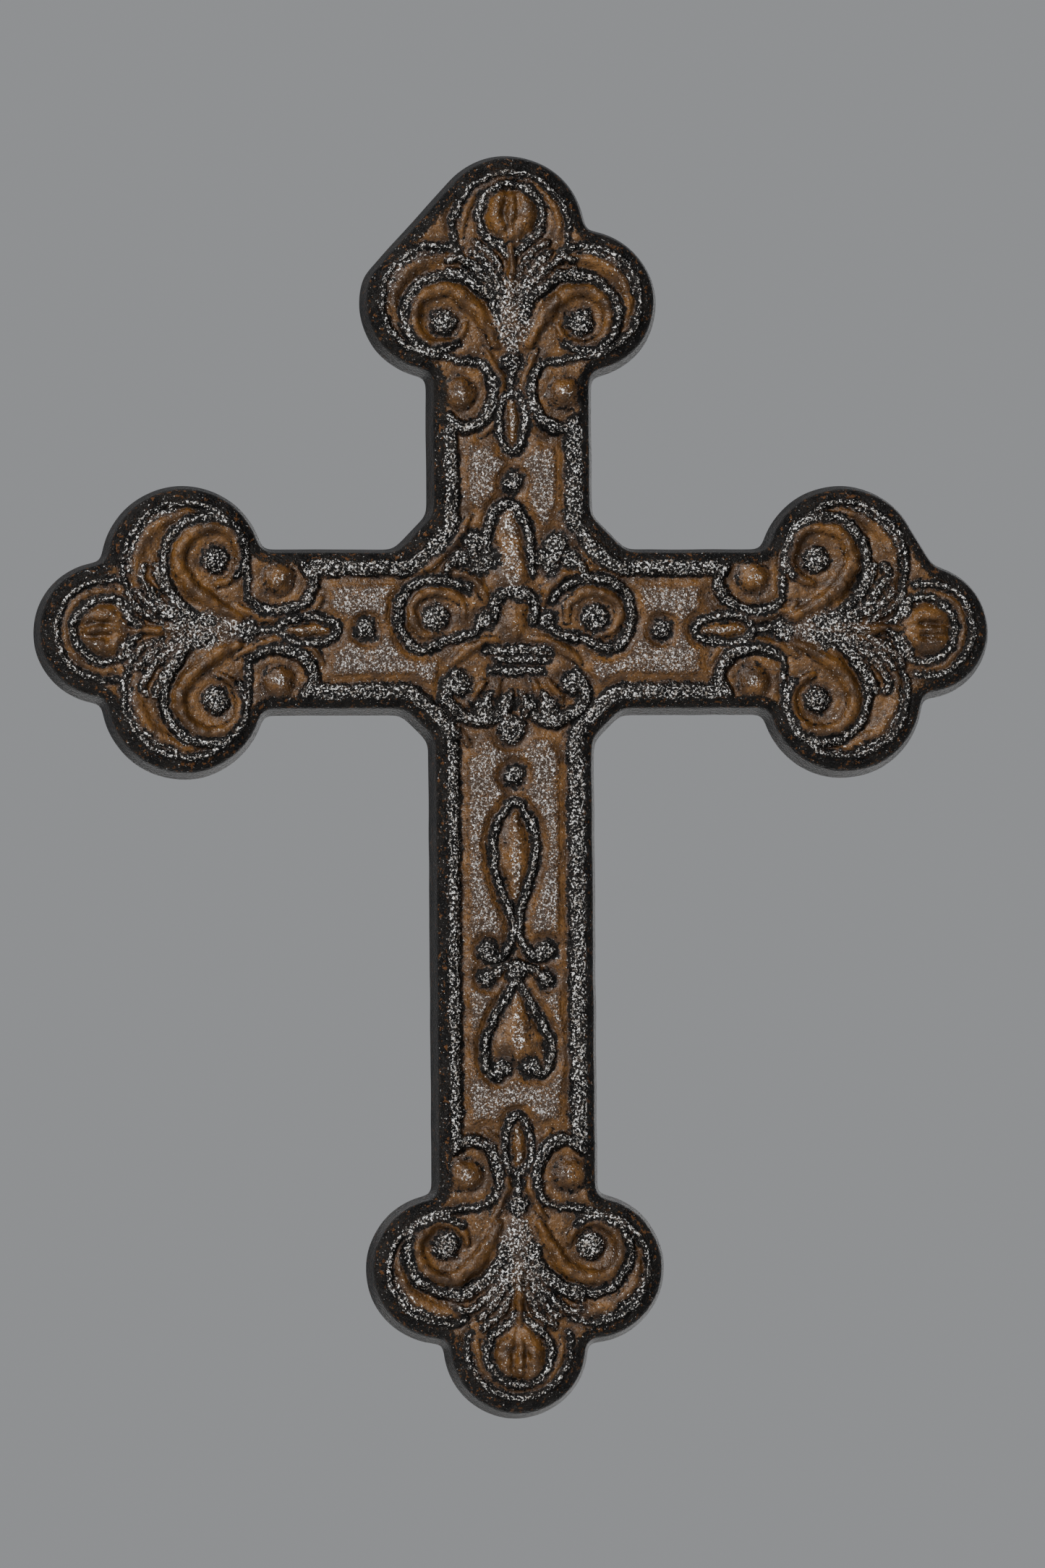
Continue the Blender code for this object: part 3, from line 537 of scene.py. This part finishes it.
def new_tree(name, numbers, objects=()):
    """An empty modifier tree with named inputs."""
    tree = bpy.data.node_groups.new(name, "GeometryNodeTree")
    tree.is_modifier = True
    tree.interface.new_socket("Geometry", in_out="INPUT", socket_type="NodeSocketGeometry")
    for label in objects:
        tree.interface.new_socket(label, in_out="INPUT", socket_type="NodeSocketObject")
    for label in numbers:
        tree.interface.new_socket(label, in_out="INPUT", socket_type="NodeSocketFloat")
    tree.interface.new_socket("Material", in_out="INPUT", socket_type="NodeSocketMaterial")
    tree.interface.new_socket("Geometry", in_out="OUTPUT", socket_type="NodeSocketGeometry")
    return tree, tree.nodes.new("NodeGroupInput").outputs


def close_tree(tree, given, geometry):
    """Ends a tree: real geometry, carrying the paint."""
    real = node(tree, "GeometryNodeRealizeInstances", {0: geometry}).outputs[0]
    inputs = {"Geometry": real, "Material": given["Material"]}
    node(tree, "NodeGroupOutput", {0: node(tree, "GeometryNodeSetMaterial", inputs).outputs[0]})


def named(tree, name):
    """The number of that name that each point of the mesh keeps."""
    return node(tree, "GeometryNodeInputNamedAttribute", {"Name": name}, data_type="FLOAT").outputs[0]


def stored(tree, geometry, name, value):
    """The mesh with a number kept on each of its points."""
    return node(tree, "GeometryNodeStoreNamedAttribute",
                {"Geometry": geometry, "Name": name, "Value": value},
                data_type="FLOAT", domain="POINT").outputs[0]


def run_tree(piece, tree, **values):
    """Adds a tree to a piece, its inputs set by their identifiers."""
    modifier = piece.modifiers.new(tree.name, "NODES")
    modifier.node_group = tree
    for item in tree.interface.items_tree:
        if item.in_out == "INPUT" and item.name in values:
            modifier[item.identifier] = values[item.name]


press, given = new_tree(
    "press_up_paths",
    ("Roundness", "Crest", "Shine", "Halo", "Black", "Core", "Waver"),
    ("Paths",),
)
paths = node(press, "GeometryNodeObjectInfo", {"Object": given["Paths"]}).outputs["Geometry"]

# The nearest point of the paths, looked for from a little aside so that edges waver
place = node(press, "GeometryNodeInputPosition").outputs[0]
flat_place = vector(press, "MULTIPLY", {0: place, 1: FLAT})
drift = cloudy(press, flat_place, WAVER_SCALE)["Color"]
drift = vector(press, "SUBTRACT", {0: drift, 1: (0.5, 0.5, 0.5)})
drift = vector(press, "SCALE", {0: drift, "Scale": given["Waver"]})
flat_place = vector(press, "ADD", {0: flat_place, 1: drift})
flat_place = vector(press, "MULTIPLY", {0: flat_place, 1: FLAT})
inputs = {"Geometry": paths, "Sample Position": flat_place}
nearest = node(press, "GeometryNodeSampleNearest", inputs, domain="POINT").outputs[0]


def of_nearest(value, kind="FLOAT"):
    """What the nearest point of the paths carries."""
    inputs = {"Geometry": paths, "Value": value, "Index": nearest}
    return node(press, "GeometryNodeSampleIndex", inputs, data_type=kind, domain="POINT").outputs[0]


spot = of_nearest(place, "FLOAT_VECTOR")
half, rise = (of_nearest(named(press, name)) for name in ("half", "rise"))
gap = vector(press, "DISTANCE", {0: flat_place, 1: spot}, "Value")
share = calc(press, "MINIMUM", calc(press, "DIVIDE", gap, half), 1.0)

# How high the point stands, how bright its crest is worn and glints as a painted highlight,
# and how black the foot is, the black there standing also for painted shade
crown = calc(press, "SUBTRACT", 1.0, calc(press, "MULTIPLY", share, share))
lumps = cloudy(press, place, LUMP_SCALE)[0]
rise = calc(press, "MULTIPLY", rise, ranged(press, lumps, 0.3, 0.7, LOW_LUMP, HIGH_LUMP))
lift = calc(press, "MULTIPLY", rise, calc(press, "POWER", crown, given["Roundness"]))
shine = calc(press, "SUBTRACT", 1.0, calc(press, "DIVIDE", share, given["Crest"]))
shine = calc(press, "MULTIPLY", calc(press, "MAXIMUM", shine, 0.0), given["Shine"])
beyond = calc(press, "SUBTRACT", gap, calc(press, "MULTIPLY", half, BLACK_FROM))
dark = calc(press, "MULTIPLY", ranged(press, beyond, 0.0, given["Halo"], 1.0, 0.0), given["Black"])
at_foot = ranged(press, share, 0.4, 0.9)
dark = calc(press, "MULTIPLY", dark, calc(press, "MAXIMUM", at_foot, given["Core"]))
geometry = given["Geometry"]
for name, operation, value in (
    ("lift", "MAXIMUM", lift), ("crest", "MAXIMUM", shine), ("dark", "MAXIMUM", dark),
    ("clear", "MINIMUM", calc(press, "SUBTRACT", gap, half)),
):
    geometry = stored(press, geometry, name, calc(press, operation, named(press, name), value))
close_tree(press, given, geometry)

# Each group: its roundness; how wide and how bright the crest is worn and glints with
# painted highlights; and how far, how deeply and whether also on the crest itself its
# black reaches, black paint at the foot that also stands for painted shade
paint = bpy.data.materials.new("brown_over_black_iron")
guides = []
for strokes, name, roundness, crest, shine, halo, black, core in (
    (domes, "domes", 0.8, 1.1, 0.62, 1.1, 0.6, 0.0),
    (petals, "petals", 0.8, 0.6, 0.46, 0.9, 0.45, 0.0),
    (bands, "bands", 0.9, 0.4, 0.34, 1.0, 0.6, 0.0),
    (wells, "wells", 1.0, 1.0, 0.0, 1.6, 0.9, 0.0),
    (worn, "worn", 0.6, 1.2, 0.9, 0.6, 0.45, 1.0),
    (leaves, "leaves", 1.0, 1.0, 0.9, 0.9, 0.7, 1.0),
    (scrolls, "scrolls", 1.0, 1.1, 0.9, 1.2, 0.95, 1.0),
    (lines, "lines", 1.0, 1.2, 1.0, 1.5, 1.0, 1.0),
    (beads, "beads", 0.7, 1.5, 1.0, 2.4, 1.0, 1.0),
):
    guides.append(strokes.guide(name))
    run_tree(casting, press, Paths=guides[-1], Roundness=roundness, Crest=crest, Shine=shine,
             Halo=halo * MM, Black=black, Core=core, Waver=WAVER * MM, Material=paint)

# The face between the raised work: its border falls away to the shoulder, the bars
# carry flat pillows that stop short of everything raised, and the sand left its grain.
# Nothing stands higher than a share, just under one, of the solid's depth.
SHOULDER = 0.0055
FACE = 0.0070
BORDER = 0.0019
PILLOW = 0.45
PILLOW_GAP = 0.4
PILLOW_REACH = 2.2
GROOVE = 0.65
GRAIN = 0.60
GRAIN_SCALE = 1100.0
SMOOTH_GRAIN = 0.22
BLACK_GRAIN = 0.7
BORDER_BOW = 1.8
HIGHEST_SHARE = 0.995
PANEL_STOP = 47.5
PANEL_TOP = 16.0
PANEL_FOOT = -18.0
BESIDE_EYES = 19.5
BESIDE_LEDGES = 12.5
EYES_FOOT = -2.0

shape, given = new_tree(
    "shape_face", ("Shoulder", "Face", "Border", "Pillow", "Groove", "Grain", "Highest")
)
edge, lift, clear, dark, crest = (
    named(shape, name) for name in ("edge", "lift", "clear", "dark", "crest")
)
slope = calc(shape, "MINIMUM", calc(shape, "DIVIDE", edge, given["Border"]), 1.0)
bow = calc(shape, "POWER", calc(shape, "SUBTRACT", 1.0, slope), BORDER_BOW)
bow = calc(shape, "SUBTRACT", 1.0, bow)
drop = calc(shape, "SUBTRACT", given["Face"], given["Shoulder"])
height = calc(shape, "ADD", given["Shoulder"], calc(shape, "MULTIPLY", drop, bow))


def softened(value, rounds, weight):
    """A value averaged with those of the points around."""
    inputs = {"Value": value, "Iterations": rounds, "Weight": weight}
    return node(shape, "GeometryNodeBlurAttribute", inputs, data_type="FLOAT").outputs[0]


pillow = ranged(shape, clear, PILLOW_GAP * MM, PILLOW_REACH * MM)
pillow = softened(calc(shape, "MULTIPLY", pillow, named(shape, "panel")), 2, 0.6)
height = calc(shape, "ADD", height, calc(shape, "MULTIPLY", pillow, given["Pillow"]))
groove = calc(shape, "MULTIPLY", calc(shape, "MULTIPLY", dark, slope), given["Groove"])
height = softened(calc(shape, "ADD", calc(shape, "SUBTRACT", height, groove), lift), 1, 0.45)

# The grain stands coarsest where the casting is worn or black, and smooth brown lies between
place = node(shape, "GeometryNodeInputPosition").outputs[0]
rough = cloudy(shape, place, GRAIN_SCALE, roughness=0.7)[0]
coarse = calc(shape, "MAXIMUM", crest, pillow)
coarse = calc(shape, "MAXIMUM", coarse, calc(shape, "MULTIPLY", dark, BLACK_GRAIN))
coarse = ranged(shape, coarse, 0.0, 0.5, SMOOTH_GRAIN, 1.0)
coarse = calc(shape, "MULTIPLY", coarse, given["Grain"])
rough = calc(shape, "MULTIPLY", calc(shape, "SUBTRACT", rough, 0.5), coarse)
height = calc(shape, "MINIMUM", calc(shape, "ADD", height, rough), given["Highest"])
split = node(shape, "ShaderNodeSeparateXYZ", {0: place}).outputs
raised = node(shape, "ShaderNodeCombineXYZ", {0: split[0], 1: split[1], 2: height}).outputs[0]
on_sheet = node(shape, "FunctionNodeCompare", {0: edge, 1: 0.0}, operation="GREATER_EQUAL",
                data_type="FLOAT").outputs[0]
geometry = stored(shape, given["Geometry"], "floor", pillow)
geometry = node(shape, "GeometryNodeSetPosition",
                {"Geometry": geometry, "Selection": on_sheet, "Position": raised}).outputs[0]
close_tree(shape, given, geometry)

# Where a pillow may lie: along each bar between the rims, clear of the ends and crossing
xs, ys = (np.array(points)[:, k] / MM for k in (0, 1))
panel = (np.abs(xs) < rim_in) & (ys < top.reach / MM - PANEL_STOP) & (ys > PANEL_TOP)
panel |= (np.abs(xs) < rim_in) & (ys > PANEL_STOP - bottom.reach / MM) & (ys < PANEL_FOOT)
nearest_in = np.where(ys > EYES_FOOT, BESIDE_EYES, BESIDE_LEDGES)
for arm, out in ((right, xs), (left, -xs)):
    panel |= (np.abs(ys) < rim_in) & (out < arm.reach / MM - PANEL_STOP) & (out > nearest_in)
give(casting_mesh, "panel", panel.astype(float))
run_tree(casting, shape, Shoulder=SHOULDER, Face=FACE, Border=BORDER, Pillow=PILLOW * MM,
         Groove=GROOVE * MM, Grain=GRAIN * MM, Highest=-HIGHEST_SHARE * cad_low[1], Material=paint)

seen = casting.evaluated_get(bpy.context.evaluated_depsgraph_get())
cross_mesh = bpy.data.meshes.new_from_object(seen)
bpy.data.objects.remove(casting)
for guide in guides:
    bpy.data.objects.remove(guide)
stand_up = Matrix(((1, 0, 0, 0), (0, 0, -1, 0), (0, 1, 0, 0), (0, 0, 0, 1)))
cross_mesh.transform(stand_up)
cross_mesh.shade_smooth()
cross = bpy.data.objects.new("iron_cross", cross_mesh)
bpy.context.scene.collection.objects.link(cross)

# The paint: glossy brown wiped over black on the rough iron. Black stays on the sides,
# the border and round the foot of every line, where it also stands for painted shade;
# crests and pillows carry fine bright flecks, partly rubbed iron and partly painted highlights.
DEEP_BROWN = (0.034, 0.0145, 0.0025, 1.0)
WARM_BROWN = (0.116, 0.051, 0.0095, 1.0)
PANEL_BROWN = (0.100, 0.052, 0.024, 1.0)
SHADE_BROWN = (0.018, 0.007, 0.002, 1.0)
PIT_BROWN = (0.012, 0.006, 0.003, 1.0)
DEEP_BLACK = (0.0020, 0.0018, 0.0018, 1.0)
GREY_BLACK = (0.0095, 0.0080, 0.0070, 1.0)
BORDER_RUST = (0.090, 0.038, 0.012, 1.0)
WALL_RUST = (0.060, 0.026, 0.010, 1.0)
DULL_IRON_AND_HIGHLIGHT = (0.32, 0.28, 0.24, 1.0)
BRIGHT_IRON_AND_HIGHLIGHT = (1.0, 0.98, 0.95, 1.0)
BLACK_BORDER = 1.5
BROWN_BEGINS = 2.2
RUBBED_AND_GLINTING = 0.61
PANEL_RUBBED_AND_GLINTING = 0.605
FLECK_METALLIC = 0.35
FLECK_ROUGHNESS = 0.25
PAINT_ROUGHNESS = 0.30
PAINT_SPECULAR = 0.32
BLACK_SPECULAR = 0.10
GRIT_DEPTH = 0.4

paint.use_nodes = True
tree = paint.node_tree
shader = tree.nodes["Principled BSDF"]
place = node(tree, "ShaderNodeTexCoord").outputs["Object"]
crest, edge, pillow, dark = (
    node(tree, "ShaderNodeAttribute", attribute_name=name).outputs["Fac"]
    for name in ("crest", "edge", "floor", "dark")
)


def speckle(scale, detail=2.0, roughness=0.6):
    return cloudy(tree, place, scale, detail, roughness)[0]


def blend(share, one, other):
    return node(tree, "ShaderNodeMix", {0: share, 6: one, 7: other}, data_type="RGBA").outputs[2]


def times(one, other):
    return calc(tree, "MULTIPLY", one, other)


def plus(one, other):
    return calc(tree, "ADD", one, other)


def highest(one, other):
    return calc(tree, "MAXIMUM", one, other)


def around_zero(value, amount):
    return times(calc(tree, "SUBTRACT", value, 0.5), amount)


cloud = speckle(300.0, 4.0)
ragged = speckle(1300.0, 3.0)
fleck = speckle(2400.0, 3.0, 0.8)
fine = speckle(3300.0, 2.0, 0.8)
tone = speckle(1500.0, 1.0)
pits = speckle(2200.0, 2.5, 0.7)
worn = highest(highest(crest, pillow), times(dark, 0.8))

# Brown, darkened towards the foot of the raised work as painted shade, paler on the pillows, with
# black in its pits
brown = blend(ranged(tree, cloud, 0.35, 0.68), DEEP_BROWN, WARM_BROWN)
brown = blend(times(pillow, 0.5), brown, PANEL_BROWN)
brown = blend(ranged(tree, dark, 0.0, 0.8, 0.0, 0.9), brown, SHADE_BROWN)
pitted = ranged(tree, plus(pits, around_zero(worn, 0.26)), 0.52, 0.58)
colour = blend(times(pitted, 0.7), brown, PIT_BROWN)

# Black round the foot of each line, black paint that there also stands for painted shade; black on the
# border and down the sides, with brown specks
black = blend(ranged(tree, cloud, 0.35, 0.65), DEEP_BLACK, GREY_BLACK)
uneven = around_zero(ragged, 2.4)
patchy = around_zero(speckle(160.0, 2.0), 1.0)
blackened_and_shaded = ranged(tree, plus(dark, plus(uneven, patchy)), 0.46, 0.76)
colour = blend(blackened_and_shaded, colour, black)
ragged_edge = plus(edge, times(uneven, 0.9 * MM))
bordered = ranged(tree, ragged_edge, BLACK_BORDER * MM, BROWN_BEGINS * MM, 1.0, 0.0)
border_colour = blend(times(ranged(tree, ragged, 0.58, 0.64), 0.8), black, BORDER_RUST)
colour = blend(bordered, colour, border_colour)
wall = ranged(tree, edge, -0.5 * MM, 0.0, 1.0, 0.0)
wall_colour = blend(times(ranged(tree, ragged, 0.62, 0.67), 0.6), black, WALL_RUST)
colour = blend(wall, colour, wall_colour)

# Bright flecks on the crests and pillows: partly iron rubbed bright by hands and sand, partly painted
# highlights
rubbed_and_glinting = highest(ranged(tree, crest, 0.08, 0.55, 0.0, RUBBED_AND_GLINTING), times(dark, 0.38))
rubbed_and_glinting = times(rubbed_and_glinting, calc(tree, "SUBTRACT", 1.0, wall))
glint = ranged(tree, plus(fleck, times(rubbed_and_glinting, 0.4)), 0.79, 0.83)
panel_rubbed_and_glinting = ranged(tree, pillow, 0.15, 1.0, 0.0, PANEL_RUBBED_AND_GLINTING)
panel_glint = ranged(tree, plus(fine, times(panel_rubbed_and_glinting, 0.4)), 0.78, 0.84)
glint = highest(glint, times(panel_glint, calc(tree, "SUBTRACT", 1.0, times(pitted, 0.5))))
iron_and_highlight = blend(ranged(tree, tone, 0.35, 0.62), DULL_IRON_AND_HIGHLIGHT, BRIGHT_IRON_AND_HIGHLIGHT)
colour = blend(glint, colour, iron_and_highlight)
tree.links.new(colour, shader.inputs["Base Color"])
tree.links.new(times(glint, FLECK_METALLIC), shader.inputs["Metallic"])
gloss = ranged(tree, glint, 0.0, 1.0, PAINT_ROUGHNESS, FLECK_ROUGHNESS)
tree.links.new(gloss, shader.inputs["Roughness"])
black_and_shade_areas = highest(blackened_and_shaded, highest(bordered, wall))
sheen = ranged(tree, black_and_shade_areas, 0.0, 1.0, PAINT_SPECULAR, BLACK_SPECULAR)
tree.links.new(sheen, shader.inputs["Specular IOR Level"])
grit = plus(speckle(2400.0, 3.0), times(speckle(1300.0, 2.0), 0.8))
coarse = ranged(tree, highest(worn, bordered), 0.0, 0.8, 0.2, 1.0)
inputs = {"Height": times(grit, coarse), "Strength": 1.0, "Distance": GRIT_DEPTH * MM}
bump = node(tree, "ShaderNodeBump", inputs)
tree.links.new(bump.outputs[0], shader.inputs["Normal"])

cross_mesh.materials.clear()
cross_mesh.materials.append(paint)
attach(cross, "root")
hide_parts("cross")

# The stage: a pale floor well below the cross, a pale room, and three soft lamps that
# shine on the crossing, a strong one at the upper left, a weak one and one behind.
FLOOR_HALF = 3.0
FLOOR_LEVEL = -0.45
ROOM_STRENGTH = 0.36

floor_mesh = bpy.data.meshes.new("floor")
quarters = ((-1, -1), (1, -1), (1, 1), (-1, 1))
corners = [(x * FLOOR_HALF, y * FLOOR_HALF, FLOOR_LEVEL) for x, y in quarters]
floor_mesh.from_pydata(corners, [], [(0, 1, 2, 3)])
ground = bpy.data.objects.new("floor", floor_mesh)
bpy.context.scene.collection.objects.link(ground)
pale = bpy.data.materials.new("pale_floor")
pale.use_nodes = True
tree = pale.node_tree
shader = tree.nodes["Principled BSDF"]
place = node(tree, "ShaderNodeTexCoord").outputs["Object"]
shader.inputs["Roughness"].default_value = 0.8
tint = blend(speckle(6.0, 4.0), (0.76, 0.76, 0.75, 1.0), (0.80, 0.80, 0.79, 1.0))
tree.links.new(tint, shader.inputs["Base Color"])
floor_mesh.materials.append(pale)

world = bpy.data.worlds.new("room")
world.use_nodes = True
background = world.node_tree.nodes["Background"]
background.inputs["Color"].default_value = (0.80, 0.82, 0.85, 1.0)
background.inputs["Strength"].default_value = ROOM_STRENGTH
bpy.context.scene.world = world

for name, place, size, power in (
    ("key", (-0.75, -1.05, 0.75), 0.20, 30.0),
    ("fill", (0.50, -1.3, 0.2), 0.3, 4.0),
    ("back", (0.1, 1.4, -0.1), 0.8, 2.5),
):
    lamp = bpy.data.lights.new(name, "AREA")
    lamp.size = size
    lamp.energy = power
    holder = bpy.data.objects.new(name, lamp)
    holder.location = place
    holder.rotation_euler = Vector(place).to_track_quat("Z", "Y").to_euler()
    bpy.context.scene.collection.objects.link(holder)

# The camera looks at the middle of the picture from a little left of square and below.
# At the cross its frame is nearly as tall as the photo's, FRAME_PIXELS times PIXEL.
PIXEL = 0.00012055
FRAME_PIXELS = 2168
SENSOR = 36.0
FRAMING = 36.15
DISTANCE = 1.6
AZIMUTH = -5.5
ELEVATION = -3.0
ROLL = -0.45

camera_data = bpy.data.cameras.new("camera")
camera = bpy.data.objects.new("camera", camera_data)
camera_data.sensor_width = SENSOR
camera_data.lens = FRAMING * DISTANCE / (FRAME_PIXELS * PIXEL)
azimuth, elevation, roll = (math.radians(angle) for angle in (AZIMUTH, ELEVATION, ROLL))
level_share = math.cos(elevation)
middle = Vector((0.0019, 0.0, -0.0252))
away = Vector((math.sin(azimuth) * level_share, -math.cos(azimuth) * level_share, math.sin(elevation)))
camera.location = middle + away * DISTANCE
turned = away.to_track_quat("Z", "Y") @ Quaternion((0.0, 0.0, 1.0), roll)
camera.rotation_euler = turned.to_euler()
bpy.context.scene.collection.objects.link(camera)
bpy.context.scene.camera = camera
